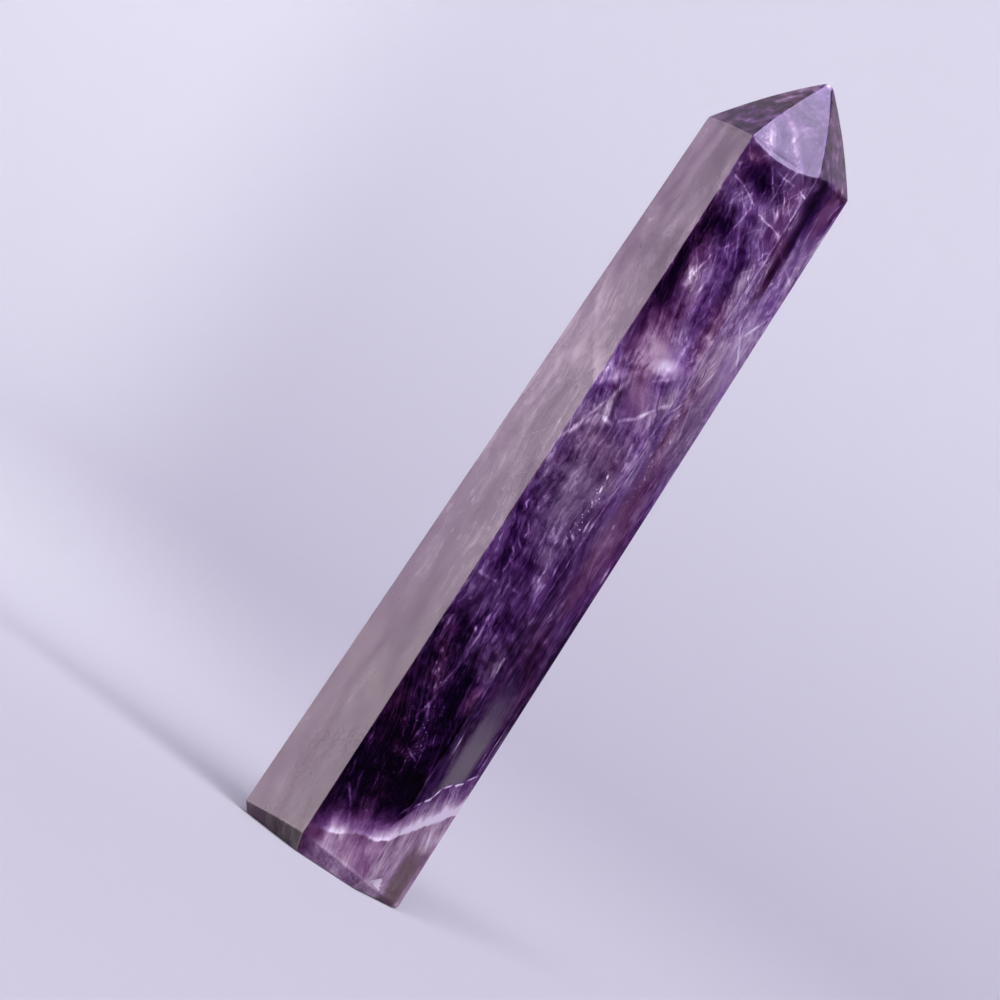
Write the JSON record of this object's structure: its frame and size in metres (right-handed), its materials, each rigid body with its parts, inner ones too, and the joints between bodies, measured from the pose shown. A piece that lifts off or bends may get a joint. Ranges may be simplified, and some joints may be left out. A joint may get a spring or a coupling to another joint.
{
  "type": "amethyst point",
  "caption": "Polished amethyst tower with six long sides, a faceted point and a flat base that it stands on.",
  "frame": {"origin": "middle of the base's outline, on the surface that the stone stands on", "axes": "+Z along the crystal towards its point, -Y out of the front face, +X to the right seen from the front"},
  "size_m": [0.0301, 0.028, 0.15],
  "materials": {
    "amethyst": "polished translucent purple quartz with lilac and white veils"
  },
  "bodies": {
    "root": {"amethyst_point": "amethyst"}
  },
  "joints": []
}
